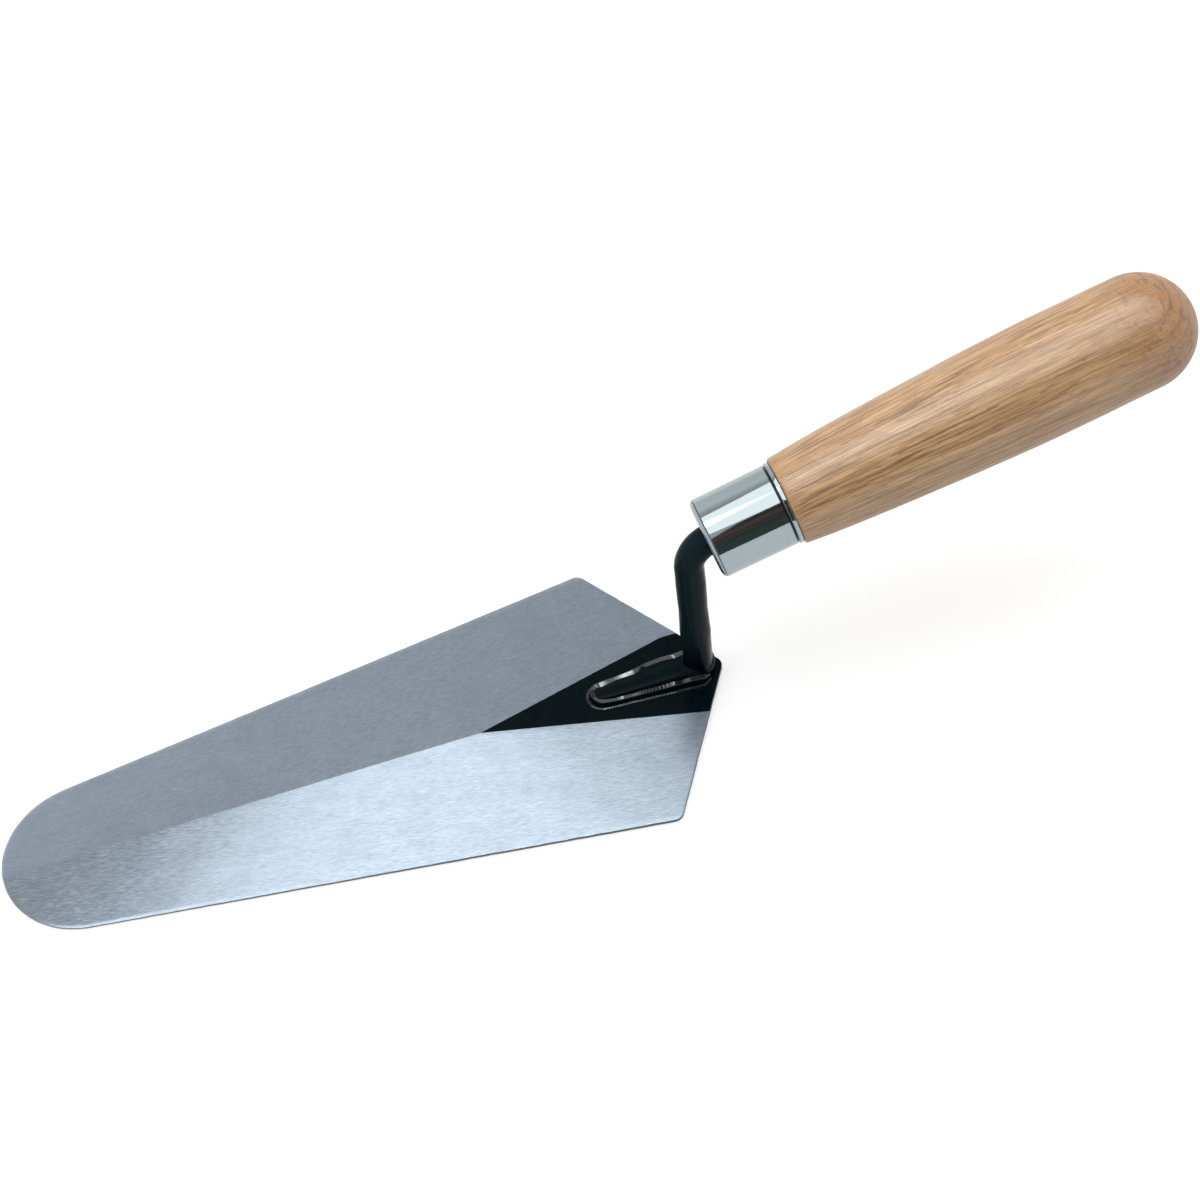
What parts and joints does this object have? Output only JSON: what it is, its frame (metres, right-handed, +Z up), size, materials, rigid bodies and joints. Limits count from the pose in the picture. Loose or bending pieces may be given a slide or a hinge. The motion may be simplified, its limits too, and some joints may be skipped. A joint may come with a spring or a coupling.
{
  "type": "brick trowel",
  "caption": "Round-nosed brick trowel: taper-ground steel blade, welded cranked tang, plated ferrule and turned wooden handle.",
  "frame": {"origin": "on the underside of the blade, in the plane of symmetry, where the axis of the shank comes through", "axes": "+Z up out of the blade, +X from the nose towards the handle, +Y to the user's left when the nose points away"},
  "size_m": [0.3275, 0.0886, 0.1011],
  "materials": {
    "blade_steel": "ground lengthwise, lightly oiled, with black lacquer left on the unground triangle around the foot",
    "black_lacquer": "semi-gloss black lacquer over forged and welded steel",
    "ferrule_plating": "bright plating",
    "handle_wood": "light hardwood with fine lengthwise grain under satin varnish"
  },
  "bodies": {
    "root": {"blade": "blade_steel", "tang": "black_lacquer", "weld_bead_left": "black_lacquer", "weld_bead_right": "black_lacquer", "ferrule": "ferrule_plating", "handle": "handle_wood"}
  },
  "joints": []
}
